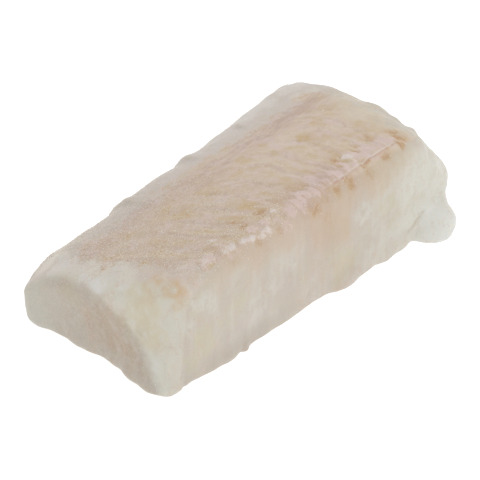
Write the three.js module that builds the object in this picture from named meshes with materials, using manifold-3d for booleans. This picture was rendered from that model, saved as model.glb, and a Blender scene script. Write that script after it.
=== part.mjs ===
// A frozen, skinless cod loin: one thick oblong piece of raw fish, lying skin side up.
// Millimetres, +X along the loin from its tail cut to its head cut, +Y towards its thin edge, +Z up.
// The origin is the middle of its bounding box, on the surface that it lies on.

import * as THREE from "three";
import { mergeVertices } from "three/addons/utils/BufferGeometryUtils.js";
import Module from "manifold-3d";

// The block that the loin is shaped from. In the block's own frame x starts at the tail cut, y is
// centred and z starts at the base, and the places below are given in that frame.
const LENGTH = 119.5;
const WIDTH = 56;
const THICKNESS = 35;

// Heights of the upper corners, from the tail cut to the head cut: the thick back edge and the thin edge.
const BACK_EDGE_HEIGHT = [34.5, 34.5, 34.5, 34.5, 34.5, 34];
const THIN_EDGE_HEIGHT = [21.4, 22, 25, 27.2, 29.5, 31];
const CROWN = 0.8;

// How far out the two long sides stand at the base, from the tail cut to the head cut, and how they swell.
const BACK_SIDE = [-28.5, -28.2, -28.1, -29, -30.8, -30.8];
const THIN_SIDE = [28, 27, 26.8, 27.2, 28.5, 29.8];
const BACK_SIDE_SWELL = 0.8;
const THIN_SIDE_SWELL = 1.5;

// Radii of the long edges, of the upright corners and of the edges across the ends.
const BACK_TOP_RADIUS = 6;
const THIN_TOP_RADIUS = 10;
const BACK_BASE_RADIUS = 1.5;
const THIN_BASE_RADIUS = 4;
const TAIL_CORNER_RADIUS = 5;
const HEAD_CORNER_RADIUS = 7;
const TAIL_TOP_RADIUS_AT_BACK = 7;
const TAIL_TOP_RADIUS_AT_THIN = 12;
const HEAD_TOP_RADIUS_AT_BACK = 24;
const HEAD_TOP_RADIUS_AT_THIN = 6;
const HEAD_TOP_RADIUS_EASE = 1.5;
const END_BASE_RADIUS = 1.2;

// The tail cut: a shallow dish inside a round rim, and a facet that leans back outside that rim.
// The rim is crisp where it meets the facet, and the dish rolls out softly towards the thin edge.
const DISH_CENTRE_Y = 12.5;
const DISH_CENTRE_Z = -10;
const DISH_RADIUS = 36.5;
const DISH_DEPTH = 3.4;
const DISH_POWER = 3;
const DISH_ROLL = 2.5;
const DISH_ROLL_START_Y = -2;
const DISH_ROLL_FULL_Y = 12;
const FACET_LEAN = 0.3;
const RIM_SOFTNESS = 1;

// The toe: the tail cut's foot pushes out below the rim's lower end.
const TOE_OUT = 2;
const TOE_Y = -19;
const TOE_REACH = 11;

// The tail cut's upper corner at the thin edge is worn down.
const TAIL_CORNER_DROP = 7;
const TAIL_CORNER_REACH = 10;

// The head cut bulges in the middle of its width, and bellies out low down at the back edge.
const HEAD_BULGE = 4;
const HEAD_BELLY = 6;
const HEAD_BELLY_HEIGHT = 13;
const HEAD_BELLY_REACH = 11;

// The flap of flesh at the foot of the head cut's back corner.
const FLAP_CENTRE = [111.6, -30.1, 4];
const FLAP_RADII = [8.8, 6.2, 5.6];
const FLAP_TURN = -50;
const FLAP_SQUARENESS = 0.72;
const FLAP_STEPS_AROUND = 24;
const FLAP_STEPS_ALONG = 14;

// Low relief. The muscle bands start square to the lateral line and sweep towards the tail as they
// cross the loin; the back side is fluted from top to bottom; the long bottom edges wave in and out.
// It fades below the top, and the wave fades above the bottom, by these powers of the height.
const LATERAL_LINE_IN = 5;
const LINE_HEIGHT = 0.4;
const LINE_HALF_WIDTH = 1.6;
const LINE_MARGIN = 3.2;
const BAND_SPACING = 12;
const BAND_HEIGHT = 0.25;
const BAND_REACH = 34;
const BAND_LEAN = 0.15;
const BAND_SWEEP = 0.014;
const FLUTE_SPACING = 14;
const FLUTE_DEPTH = 0.25;
const EDGE_WAVE = 0.25;
const EDGE_WAVE_LENGTHS = [31, 17];
const RELIEF_FADE = 4;
const EDGE_WAVE_FADE = 3;

// The grid on the block's six faces.
const STEPS_ALONG = 50;
const STEPS_ACROSS = 24;
const STEPS_UP = 15;

// Corner points closer together than this are one point.
const MERGE_WITHIN = 0.001;

const { lerp, clamp, degToRad, smoothstep } = THREE.MathUtils;

// A smooth curve through values that are evenly spaced along the loin, as a function of x.
function along(values) {
  const last = values.length - 1;
  const points = values.map((value, i) => new THREE.Vector2(i / last, value));
  const curve = new THREE.SplineCurve(points);
  return (x) => curve.getPoint(clamp(x / LENGTH, 0, 1)).y;
}

const backHeight = along(BACK_EDGE_HEIGHT);
const thinHeight = along(THIN_EDGE_HEIGHT);
const backSide = along(BACK_SIDE);
const thinSide = along(THIN_SIDE);

// One at a distance of zero, falling to nothing past the reach.
function bump(distance, reach) {
  return Math.exp(-((distance / reach) ** 2));
}

function wave(distance, spacing) {
  return Math.sin((2 * Math.PI * distance) / spacing);
}

// The larger of two values, with the change from one to the other rounded off.
function softMax(a, b, softness) {
  return (a + b + Math.hypot(a - b, softness)) / 2;
}

// Rounds the corner of a rectangle of the given half sizes, for a point (a, b) in it.
function roundCorner(a, b, halfA, halfB, radius) {
  const pastA = Math.abs(a) - (halfA - radius);
  const pastB = Math.abs(b) - (halfB - radius);
  if (pastA <= 0 || pastB <= 0) return [a, b];
  const shrink = Math.max(pastA, pastB) / Math.hypot(pastA, pastB);
  return [
    Math.sign(a) * (halfA - radius + pastA * shrink),
    Math.sign(b) * (halfB - radius + pastB * shrink),
  ];
}

function longEdgeRadius(y, z) {
  if (z > 0) return y < 0 ? BACK_TOP_RADIUS : THIN_TOP_RADIUS;
  return y < 0 ? BACK_BASE_RADIUS : THIN_BASE_RADIUS;
}

function endEdgeRadius(x, y, z) {
  if (z < 0) return END_BASE_RADIUS;
  const across = y / WIDTH + 0.5;
  if (x < 0) return lerp(TAIL_TOP_RADIUS_AT_BACK, TAIL_TOP_RADIUS_AT_THIN, across);
  const ease = (1 - across) ** HEAD_TOP_RADIUS_EASE;
  return lerp(HEAD_TOP_RADIUS_AT_THIN, HEAD_TOP_RADIUS_AT_BACK, ease);
}

// A point of the plain block, which is centred on all three axes, with the long edges, the upright
// corners and the end edges rounded.
function roundedBlock(x, y, z) {
  const upright = x < 0 ? TAIL_CORNER_RADIUS : HEAD_CORNER_RADIUS;
  [y, z] = roundCorner(y, z, WIDTH / 2, THICKNESS / 2, longEdgeRadius(y, z));
  [x, y] = roundCorner(x, y, LENGTH / 2, WIDTH / 2, upright);
  [x, z] = roundCorner(x, z, LENGTH / 2, THICKNESS / 2, endEdgeRadius(x, y, z));
  return [x, y, z];
}

function tailFace(y, z) {
  const fromCentre = Math.hypot(y - DISH_CENTRE_Y, z - DISH_CENTRE_Z);
  const facet = FACET_LEAN * (fromCentre - DISH_RADIUS);
  const roll = DISH_ROLL * smoothstep(y, DISH_ROLL_START_Y, DISH_ROLL_FULL_Y);
  const inside = 1 - (fromCentre / DISH_RADIUS) ** DISH_POWER;
  const dish = DISH_DEPTH * (roll > 0 ? Math.max(inside, 0) ** (1 + roll) : inside);
  const toe = TOE_OUT * bump(Math.hypot(y - TOE_Y, z), TOE_REACH);
  return softMax(facet, dish, RIM_SOFTNESS) - toe;
}

function headFace(y, z) {
  const towardsBack = clamp(0.5 - y / WIDTH, 0, 1);
  const low = bump(z - HEAD_BELLY_HEIGHT, HEAD_BELLY_REACH);
  const bulge = HEAD_BULGE * (1 - (2 * y / WIDTH) ** 2);
  return LENGTH + bulge + HEAD_BELLY * towardsBack * low;
}

// How far the top stands proud: the lateral line's ridge and the muscle bands on its thin side.
function topRelief(x, y) {
  const fromLine = y - (backSide(x) + LATERAL_LINE_IN);
  const ridge = LINE_HEIGHT * bump(fromLine, LINE_HALF_WIDTH);
  if (fromLine < 0) return ridge;
  const band = x + BAND_LEAN * fromLine + BAND_SWEEP * fromLine ** 2;
  const fade = bump(fromLine, BAND_REACH) - bump(fromLine, LINE_MARGIN);
  return ridge + BAND_HEIGHT * fade * wave(band, BAND_SPACING);
}

function bottomEdgeWave(x) {
  return EDGE_WAVE_LENGTHS.reduce((sum, spacing) => sum + EDGE_WAVE * wave(x, spacing), 0);
}

// Bends a point of the rounded block to the loin's own heights, sides and ends. Across and up run
// from 0 at the back side and the base to 1 at the thin side and the top.
function shape(blockX, blockY, blockZ) {
  const x = blockX + LENGTH / 2;
  const across = blockY / WIDTH + 0.5;
  const up = blockZ / THICKNESS + 0.5;
  const swell = 4 * up * (1 - up);
  const flute = FLUTE_DEPTH * swell * wave(x, FLUTE_SPACING);
  const hem = bottomEdgeWave(x) * (1 - up) ** EDGE_WAVE_FADE;
  const back = backSide(x) - BACK_SIDE_SWELL * swell + flute + hem;
  const thin = thinSide(x) + THIN_SIDE_SWELL * swell - flute + hem;
  const y = lerp(back, thin, across);
  const crown = 4 * CROWN * across * (1 - across);
  const worn = TAIL_CORNER_DROP * bump(Math.hypot(x, y - thin), TAIL_CORNER_REACH);
  const top = lerp(backHeight(x), thinHeight(x), across) + crown - worn;
  const z = (top + topRelief(x, y) * up ** RELIEF_FADE) * up;
  return [lerp(tailFace(y, z), headFace(y, z), x / LENGTH), y, z];
}

function loinBody() {
  const steps = [STEPS_ALONG, STEPS_ACROSS, STEPS_UP];
  const block = new THREE.BoxGeometry(LENGTH, WIDTH, THICKNESS, ...steps);
  const position = block.getAttribute("position");
  for (let i = 0; i < position.count; i++) {
    const rounded = roundedBlock(position.getX(i), position.getY(i), position.getZ(i));
    position.setXYZ(i, ...shape(...rounded));
  }
  return block;
}

// Moves one coordinate of a ball's surface outwards, which makes the ball more like a rounded box.
function squared(value) {
  return Math.sign(value) * Math.abs(value) ** FLAP_SQUARENESS;
}

// A squarish ball drawn out towards the corner and pressed flat underneath.
function flap() {
  const ball = new THREE.SphereGeometry(1, FLAP_STEPS_AROUND, FLAP_STEPS_ALONG);
  const surface = ball.getAttribute("position");
  for (let i = 0; i < surface.count; i++) {
    surface.setXYZ(i, squared(surface.getX(i)), squared(surface.getY(i)), squared(surface.getZ(i)));
  }
  ball.rotateX(degToRad(90));
  ball.scale(...FLAP_RADII);
  ball.rotateZ(degToRad(FLAP_TURN));
  ball.translate(...FLAP_CENTRE);
  const position = ball.getAttribute("position");
  for (let i = 0; i < position.count; i++) {
    position.setZ(i, Math.max(position.getZ(i), 0));
  }
  return ball;
}

const wasm = await Module();
wasm.setup();

// A closed geometry as a solid for joining, with only its corner points kept.
function solidOf(geometry) {
  const bare = geometry.clone();
  bare.deleteAttribute("normal");
  bare.deleteAttribute("uv");
  const merged = mergeVertices(bare, MERGE_WITHIN);
  return new wasm.Manifold(
    new wasm.Mesh({
      numProp: 3,
      vertProperties: merged.getAttribute("position").array,
      triVerts: new Uint32Array(merged.index.array),
    }),
  );
}

function geometryOf(solid) {
  const mesh = solid.getMesh();
  const geometry = new THREE.BufferGeometry();
  geometry.setAttribute(
    "position",
    new THREE.BufferAttribute(new Float32Array(mesh.vertProperties), 3),
  );
  geometry.setIndex(new THREE.BufferAttribute(mesh.triVerts, 1));
  geometry.computeVertexNormals();
  return geometry;
}

// Places a mesh so that its box is centred over the origin and stands on z = 0.
function settle(mesh) {
  mesh.geometry.computeBoundingBox();
  const { min, max } = mesh.geometry.boundingBox;
  mesh.position.set(-(min.x + max.x) / 2, -(min.y + max.y) / 2, -min.z);
}

const flesh = new THREE.MeshStandardMaterial({
  color: 0xcdc4b8,
  roughness: 0.45,
  metalness: 0,
});

const joined = solidOf(loinBody()).add(solidOf(flap()));
const loin = new THREE.Mesh(geometryOf(joined), flesh);
loin.name = "cod_loin";
settle(loin);

const group = new THREE.Group();
group.add(loin);

export default group;
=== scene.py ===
"""A frozen, skinless cod loin, lying skin side up: its flesh, the frost on it and a plain white stage."""

import math

import bpy
import numpy as np
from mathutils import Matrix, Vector, noise


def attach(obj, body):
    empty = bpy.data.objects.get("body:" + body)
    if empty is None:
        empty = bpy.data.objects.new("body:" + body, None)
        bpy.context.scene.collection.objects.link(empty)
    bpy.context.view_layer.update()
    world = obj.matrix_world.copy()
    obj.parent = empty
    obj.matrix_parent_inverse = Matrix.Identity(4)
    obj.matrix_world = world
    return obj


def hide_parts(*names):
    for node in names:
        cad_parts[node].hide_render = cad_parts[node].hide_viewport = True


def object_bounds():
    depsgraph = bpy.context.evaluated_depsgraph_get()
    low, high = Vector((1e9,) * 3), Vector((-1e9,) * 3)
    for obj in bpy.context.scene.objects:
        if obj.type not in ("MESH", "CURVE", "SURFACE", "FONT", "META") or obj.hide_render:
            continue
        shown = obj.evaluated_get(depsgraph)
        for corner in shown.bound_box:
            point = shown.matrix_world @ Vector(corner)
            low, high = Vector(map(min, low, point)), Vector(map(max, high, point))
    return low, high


bl_info = {
    "name": "Cod Loin",
    "version": (1, 0, 0),
    "blender": (4, 5, 0),
    "location": "View3D > Sidebar > Cod Loin",
    "description": "Builds a frozen cod loin with its muscle bands, lateral line and frost",
    "category": "Object",
}

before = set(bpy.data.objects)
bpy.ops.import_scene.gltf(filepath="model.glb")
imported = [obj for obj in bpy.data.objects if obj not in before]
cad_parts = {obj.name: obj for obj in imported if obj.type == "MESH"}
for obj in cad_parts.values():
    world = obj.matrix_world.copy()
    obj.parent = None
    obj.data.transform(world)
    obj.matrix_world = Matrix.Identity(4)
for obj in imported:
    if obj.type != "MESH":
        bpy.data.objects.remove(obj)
CAD_LOW, CAD_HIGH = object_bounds()

# Lengths below are in millimetres, in the part's own frame: +X from the tail cut to the head cut, +Y
# from the tall back side to the thin side, +Z up out of the skinned side.
MM = 0.001
TAIL_END = CAD_LOW.x / MM

# The lateral line runs straight along the loin, where the top turns down to the back side.
LINE_Y = -21.7
LINE_Z = 33.5
THREAD_START = 6.0
THREAD_END = 38.0
FRAGMENTS_START = -50.0
FRAGMENTS_END = -11.0

# The muscle bands lean to the head as they leave the line, or to the tail where they are near the tail
# cut. Further on they run nearly square to the line, and towards the thin side they turn to the tail.
BAND_SPACING = 7.1
BAND_PHASE = 35.0
BAND_LEAN_AT_HEAD = 0.35
BAND_LEAN_HEAD_X = 34.0
BAND_LEAN_AT_TAIL = -0.5
BAND_LEAN_TAIL_X = -48.0
BAND_LEAN_REACH = 14.0
BAND_DRIFT = 0.1
BAND_TURN_START = 20.0
BAND_TURN_BEND = 0.035
BAND_RUN_START = 30.0
BAND_RUN_BEND = 0.12

# The pinkish strip along the thin side, beyond which the top's edge is greyish.
PINK_STRIP_Y = 13.8
PINK_STRIP_REACH = 4.2

# The tan skinned top stops short of the tail cut, of the rounded thin side and of the head cut.
TAN_TAIL_X = -54.9
TAN_TAIL_SLANT = 0.27
TAN_TAIL_SLANT_Y = 3.3
TAN_TAIL_TURN = 0.35
TAN_TAIL_TURN_Y = 13.0
TAN_THIN_Y = 18.3
TAN_HEAD_X = 49.0

# The hollow in the tail cut is round, and its rim is the ridge that crosses the cut.
HOLLOW_Y = 16.2
HOLLOW_Z = -10.0
HOLLOW_RADIUS = 36.5

# The flap at the foot of the head cut: the crease on its tail side, and where it runs into the flesh
# above it. Each place is x, y and z.
FLAP_CREASE = [(37.8, -27.6, 6.2), (41.2, -27.5, 7.9), (44.4, -27.5, 10.6)]
FLAP_SEAM = [(45.5, -28.0, 10.8), (49.0, -28.4, 10.3), (52.5, -28.2, 9.4), (55.1, -27.4, 8.6)]

# The stage, in metres, and the width of the camera's sensor, which is in millimetres.
FLOOR_SIZE = 6.0
SOFTBOX_SIZE = 0.6
SOFTBOX_FROM_LOIN = (0.15, -0.45, 0.6)
SENSOR_WIDTH = 36.0


def ramp(value, start, stop):
    """Nought up to start and one from stop on, with a smooth rise between them."""
    share = np.clip((value - start) / (stop - start), 0, 1)
    return share * share * (3 - 2 * share)


def bump(distance, reach):
    """One at a distance of nought, falling to nothing past the reach."""
    return np.exp(-((distance / reach) ** 2))


def lumps(x, y, z, seed):
    """Smooth noise, mostly from -1 to 1, with lumps about one unit apart."""
    places = np.stack(np.broadcast_arrays(x + seed, y - seed, z + 2 * seed), axis=1).tolist()
    return 2 * np.array([noise.noise(place) for place in places])


class FleshPlaces:
    """Where each vertex of the flesh lies, in the terms that its relief and its colours are given in."""

    def __init__(self, places, normals):
        self.x, self.y, self.z = places.T
        self.facing_x, self.facing_y, self.facing_up = normals.T
        self.from_line = self.y - LINE_Y
        under = np.maximum(-self.from_line, 0) + np.maximum(LINE_Z - self.z, 0)
        self.across = np.where(self.from_line > 0, self.from_line, -under)
        away = np.maximum(self.from_line, 0)
        headward = ramp(self.x, BAND_LEAN_TAIL_X, BAND_LEAN_HEAD_X)
        lean = BAND_LEAN_AT_TAIL + (BAND_LEAN_AT_HEAD - BAND_LEAN_AT_TAIL) * headward
        leaning = lean * BAND_LEAN_REACH * np.tanh(away / BAND_LEAN_REACH)
        turn = BAND_TURN_BEND * np.maximum(away - BAND_TURN_START, 0) ** 2
        run = BAND_RUN_BEND * np.maximum(away - BAND_RUN_START, 0) ** 2
        turning = (turn + run) * (1 + 0.8 * ramp(-self.x, 10, 45))
        self.along_band = self.x - leaning + BAND_DRIFT * away + turning
        tail_edge = TAN_TAIL_X + TAN_TAIL_SLANT * np.maximum(TAN_TAIL_SLANT_Y - self.y, 0)
        tail_edge += TAN_TAIL_TURN * np.maximum(self.y - TAN_TAIL_TURN_Y, 0)
        self.past_tail_edge = self.x - tail_edge
        self.from_hollow = np.hypot(self.y - HOLLOW_Y, self.z - HOLLOW_Z) - HOLLOW_RADIUS
        self.patchy = self.mottle(6, 21.5)
        self.ragged = self.mottle(1.9, 33.1)
        self.streaky = lumps(self.x / 9, self.y / 1.3, self.z / 4, 8.2)

    def mottle(self, size, seed):
        """Smooth noise with lumps of that size, in millimetres."""
        return lumps(self.x / size, self.y / size, self.z / size, seed)

    def top(self):
        """One on the upper side and nought on the sides."""
        return ramp(self.facing_up, 0.45, 0.85) * ramp(self.z, 9, 13)

    def back_side(self):
        """One on the tall side under the line."""
        return ramp(-self.facing_y, 0.5, 0.9)

    def tail_cut(self):
        """One on the cut at the tail end, the hollow included."""
        return ramp(-self.facing_x, 0.45, 0.75) * ramp(-self.x, -TAIL_END - 14, -TAIL_END - 8)

    def tan(self):
        """The skinned top, one where it is tan and nought on the pale edges and cuts round it."""
        tail = ramp(self.past_tail_edge + 0.9 * self.patchy + 0.9 * self.ragged, -3.2, 2.6)
        thin = 1 - ramp(self.y + 1.3 * self.patchy + 0.9 * self.streaky, TAN_THIN_Y - 4.5, TAN_THIN_Y + 3.5)
        head = self.x + 0.2 * np.abs(self.y - 6) + 2.5 * self.patchy + self.ragged
        head = 1 - ramp(head, TAN_HEAD_X - 4, TAN_HEAD_X + 7)
        return tail * thin * head * ramp(self.across, -3.5, -1.5)

    def spots(self, marks, crispness=2):
        """Uneven spots, by their places along and across the line."""
        total = np.zeros_like(self.x)
        stray_x = self.x + 0.3 * self.patchy + 0.5 * self.ragged
        stray_across = self.across + 0.3 * self.patchy - 0.5 * self.ragged
        for x, across, half_length, half_width, strength in marks:
            distance = np.hypot((stray_x - x) / half_length, (stray_across - across) / half_width)
            total = np.maximum(total, strength * np.exp(-(distance**crispness)))
        return total

    def patches(self, marks, first, second):
        """Soft uneven patches, by their places on two of the axes."""
        total = np.zeros_like(self.x)
        for a, b, half_width, strength in marks:
            distance = np.hypot(first - a, second - b) / half_width
            total = np.maximum(total, strength * ramp(-distance - 0.35 * self.patchy, -1.25, -0.45))
        return total

    def smears(self, marks, first, second):
        """Marks that fade out with no edge, by their places on two of the axes."""
        total = np.zeros_like(self.x)
        for a, b, half_width, strength in marks:
            distance = np.hypot(first - a, second - b) / half_width
            total = np.maximum(total, strength * bump(distance + 0.25 * self.ragged, 1.1))
        return total

    def from_chain(self, chain):
        """The distance to the nearest place on a chain of straight pieces."""
        here = np.stack([self.x, self.y, self.z], axis=1)
        nearest = np.full(len(here), np.inf)
        for start, stop in zip(chain, chain[1:]):
            start, run = np.array(start), np.subtract(stop, start)
            share = np.clip((here - start) @ run / (run @ run), 0, 1)
            nearest = np.minimum(nearest, np.linalg.norm(here - start - share[:, None] * run, axis=1))
        return nearest

    def frosted(self):
        """How thick the frost lies: most on the top's tail third, and thinly all over."""
        near = (1 - ramp(self.x, -52, 8)) * ramp(self.past_tail_edge, -6, 0)
        near *= (1 - 0.85 * ramp(-self.across, -1, 3)) * np.clip(0.9 + 0.35 * self.patchy, 0, 2)
        return ramp(self.facing_up, 0.1, 0.7) * (0.02 + near)


# Each spot is its x, its way across the line, its half-length, its half-width and its strength. Its way
# across is along Y above the line, and down the back side, below nought, under it.

# Amber spots of dark muscle where the bands meet the line, first above it and then below it.
AMBER_SPOTS = [
    (42.2, 4.4, 1.8, 2.4, 1.15),
    (41.2, 0.9, 2.0, 2.4, 1.4),
    (35.2, 7.4, 1.3, 1.9, 0.7),
    (34.2, 6.2, 1.1, 1.6, 0.6),
    (28.4, 7.4, 1.0, 2.4, 0.65),
    (25.6, 5.2, 0.9, 1.7, 0.85),
    (21.3, 6.3, 1.0, 1.6, 0.5),
    (18.2, 6.6, 1.8, 2.2, 0.95),
    (19.6, 4.4, 1.0, 1.5, 0.85),
    (16.4, 3.2, 0.9, 1.3, 0.7),
    (10.3, 6.8, 1.0, 2.4, 0.5),
    (1.4, 5.2, 2.0, 2.0, 0.55),
    (-1.0, 6.4, 1.6, 2.2, 0.55),
    (-9.5, 5.0, 2.2, 2.0, 0.45),
    (-15.8, 5.8, 2.2, 1.8, 1.1),
    (-17.6, 3.1, 2.2, 1.2, 0.8),
    (-23.1, 8.3, 2.0, 2.4, 0.75),
    (-24.8, 4.0, 1.8, 1.2, 1.05),
    (-32.5, 4.6, 2.0, 2.0, 0.45),
    (-39.3, 3.0, 1.8, 1.4, 0.6),
    (38.0, -2.2, 1.4, 2.2, 1.0),
    (37.0, -3.4, 1.6, 1.6, 0.4),
    (30.6, -2.6, 1.5, 1.5, 0.75),
    (24.2, -0.3, 1.5, 1.0, 1.0),
    (21.3, -0.8, 0.8, 0.7, 0.6),
    (21.6, -4.6, 1.6, 3.0, 0.55),
    (14.3, -1.2, 0.9, 0.9, 0.6),
    (13.9, -4.6, 1.3, 2.8, 0.9),
    (15.0, -3.0, 1.3, 1.8, 0.8),
    (8.6, -3.0, 1.8, 2.6, 0.8),
    (2.8, -3.8, 1.4, 2.4, 0.4),
    (-2.0, -5.4, 2.3, 2.4, 1.0),
    (1.8, -10.8, 2.2, 3.6, 0.3),
    (4.4, -13.5, 2.4, 4.6, 0.15),
    (10.6, -17.5, 2.0, 4.5, 0.15),
    (-25.4, -4.2, 1.4, 1.6, 0.4),
    (-17.2, -4.6, 1.2, 1.8, 0.35),
    (-36.5, -5.0, 2.0, 2.5, 0.25),
    (-50.9, -1.8, 2.0, 1.6, 0.35),
]
# Whitish fragments, most of them in a row along the line towards the tail.
FRAGMENTS = [
    (37.6, 20.0, 1.8, 1.4, 0.35),
    (22.2, 4.6, 1.4, 2.0, 1.0),
    (21.4, 1.8, 1.4, 1.2, 0.5),
    (-13.9, 2.4, 1.5, 0.8, 1.0),
    (-17.7, 0.2, 1.8, 1.4, 0.6),
    (-20.6, -2.0, 1.6, 2.0, 1.1),
    (-23.4, -2.6, 1.6, 1.6, 0.9),
    (-26.6, -1.6, 1.6, 1.5, 1.0),
    (-29.0, -0.6, 2.0, 1.5, 1.0),
    (-34.6, 0.0, 2.6, 1.6, 1.1),
    (-37.2, -0.2, 1.6, 1.3, 0.9),
    (-36.1, 5.4, 1.6, 0.9, 0.8),
    (-45.0, 0.4, 2.2, 1.4, 0.7),
]

# Mauve lobes of thin skin that is left along the line.
LOBES = [
    (37.0, 1.4, 2.0, 1.6, 1.0),
    (33.6, 2.6, 2.0, 2.0, 0.6),
    (29.8, 3.6, 3.0, 3.0, 1.15),
    (30.6, 7.0, 1.3, 2.0, 0.7),
    (26.8, 2.6, 1.5, 1.5, 0.9),
    (23.4, 4.6, 1.4, 2.6, 1.1),
    (20.6, 1.4, 1.7, 1.4, 1.0),
    (16.2, 1.3, 1.9, 1.5, 0.9),
    (17.4, 4.2, 0.9, 2.2, 0.7),
    (12.7, 2.0, 1.7, 2.0, 1.0),
    (6.6, 7.2, 0.8, 2.8, 0.8),
    (4.6, 9.4, 0.8, 4.0, 0.8),
    (11.0, 9.6, 0.7, 3.8, 0.6),
    (14.8, 11.0, 0.8, 3.4, 0.6),
    (2.0, -0.4, 1.8, 1.6, 0.9),
    (0.0, 1.0, 2.2, 1.4, 0.9),
    (-1.8, 3.0, 1.6, 1.4, 0.8),
    (-3.8, 0.4, 2.2, 2.0, 0.9),
    (-6.5, 0.0, 2.2, 2.6, 0.9),
    (-5.6, -3.2, 1.8, 1.8, 0.8),
    (-9.8, -0.8, 2.4, 2.8, 0.95),
    (-11.4, 1.0, 1.6, 1.4, 0.35),
    (-13.5, -4.5, 2.4, 2.6, 0.65),
    (-19.4, 1.0, 1.6, 1.3, 0.8),
    (-25.0, 1.2, 1.4, 1.1, 0.85),
    (-36.0, -2.2, 2.4, 2.0, 0.75),
    (-36.9, 2.0, 1.8, 1.4, 0.8),
    (-42.9, 0.4, 2.4, 2.2, 1.0),
    (-45.2, -0.8, 2.4, 2.2, 1.0),
    (-50.4, 1.8, 3.0, 1.8, 0.45),
]

# Spots of the skinned top, yellowish over thicker muscle and mauve over thinner.
YELLOW_ON_TOP = [
    (21.4, 8.8, 2.2, 3.2, 0.9),
    (-44.8, 16.0, 3.4, 2.2, 0.8),
    (46.8, 13.3, 2.6, 3.0, 0.35),
    (39.9, 15.3, 2.8, 3.2, 0.35),
    (34.8, 25.6, 2.6, 2.6, 0.75),
    (29.4, 12.5, 1.3, 3.2, 0.6),
    (25.6, 23.4, 3.0, 3.0, 1.0),
    (15.1, 32.2, 2.2, 2.4, 0.8),
    (13.3, 12.6, 1.8, 4.0, 0.65),
    (6.2, 30.0, 3.2, 2.6, 0.8),
    (2.4, 12.4, 2.4, 4.0, 0.7),
    (-1.3, 27.4, 3.2, 2.4, 0.65),
    (-7.0, 11.6, 2.6, 4.0, 0.75),
    (-9.8, 28.0, 4.0, 2.0, 0.8),
    (-14.8, 10.9, 3.6, 3.4, 0.95),
    (-25.5, 31.9, 5.0, 1.8, 0.9),
    (-26.1, 24.3, 4.0, 2.0, 0.75),
    (-27.6, 41.0, 4.0, 1.6, 0.5),
    (-31.2, 12.4, 3.4, 2.8, 0.65),
    (-41.9, 20.5, 5.0, 2.4, 0.5),
    (-41.4, 32.7, 4.4, 1.9, 0.85),
    (-51.7, 15.3, 4.0, 2.0, 0.85),
]
MAUVE_ON_TOP = [
    (-7.4, 22.4, 3.0, 2.6, 0.75),
    (-7.0, 15.5, 2.4, 2.6, 0.7),
    (-35.5, 6.0, 3.0, 1.8, 0.7),
    (36.2, 22.3, 3.0, 2.0, 0.7),
    (37.3, 19.5, 2.4, 2.0, 0.4),
    (28.2, 19.8, 3.0, 2.4, 0.85),
    (35.4, 25.7, 2.4, 2.2, 0.5),
    (33.5, 11.1, 2.0, 2.2, 0.6),
    (34.0, 15.5, 2.4, 2.2, 0.75),
    (41.5, 11.0, 2.4, 2.4, 0.5),
    (-54.0, 26.0, 2.6, 2.2, 0.7),
    (-49.0, 40.6, 2.6, 2.4, 0.6),
    (-10.6, 11.6, 2.4, 2.4, 0.9),
    (31.9, 27.8, 2.8, 2.0, 0.8),
    (21.4, 23.7, 2.2, 2.6, 0.5),
    (18.3, 32.3, 2.2, 1.6, 0.8),
    (17.0, 26.7, 1.8, 3.8, 0.85),
    (14.8, 19.9, 1.6, 3.8, 0.75),
    (10.7, 34.5, 2.4, 1.3, 1.0),
    (1.8, 28.9, 3.2, 2.0, 0.65),
    (1.2, 21.1, 4.0, 3.0, 0.55),
    (0.6, 14.8, 1.8, 3.2, 0.6),
    (-8.1, 19.8, 2.4, 3.0, 0.6),
    (-15.2, 20.3, 4.0, 3.0, 0.65),
    (-24.7, 38.4, 4.4, 2.0, 0.7),
    (-25.3, 15.6, 3.4, 3.4, 0.8),
    (-30.9, 17.7, 3.0, 2.4, 0.75),
    (-34.3, 24.4, 4.0, 2.2, 0.8),
    (-37.7, 8.4, 3.0, 1.6, 0.75),
    (-42.2, 11.6, 3.0, 2.4, 0.65),
    (-45.4, 25.4, 3.2, 1.8, 0.85),
    (-49.6, 30.4, 3.0, 2.0, 0.55),
]

# Brownish spots on the pinkish strip and between the lobes.
BROWN_ON_TOP = [
    (-51.0, 7.6, 2.0, 3.2, 0.55),
    (40.6, 35.2, 3.4, 1.6, 0.75),
    (29.4, 35.4, 2.8, 1.6, 0.7),
    (-1.7, 31.1, 2.6, 1.6, 0.6),
    (-28.3, 39.4, 3.6, 1.6, 0.7),
    (-10.7, 31.5, 4.0, 1.8, 0.85),
    (9.1, 3.8, 1.7, 1.6, 0.9),
    (-2.5, -2.8, 1.4, 1.4, 0.8),
]

# Each patch is its places on two of the axes, its half-width and its strength.

# Paler patches near the edges of the upper side, by their x and y.
PALE_ON_EDGE = [
    (50.8, 3.4, 3.6, 0.9),
    (50.5, 18.0, 3.4, 0.8),
    (45.6, 18.8, 3.0, 0.8),
    (-54.0, 25.5, 4.4, 1.0),
    (-57.8, 3.5, 4.5, 1.0),
    (-58.5, -4.8, 3.5, 0.9),
    (-55.0, -15.4, 2.6, 0.8),
    (-54.0, -23.6, 2.4, 0.6),
]

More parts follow.
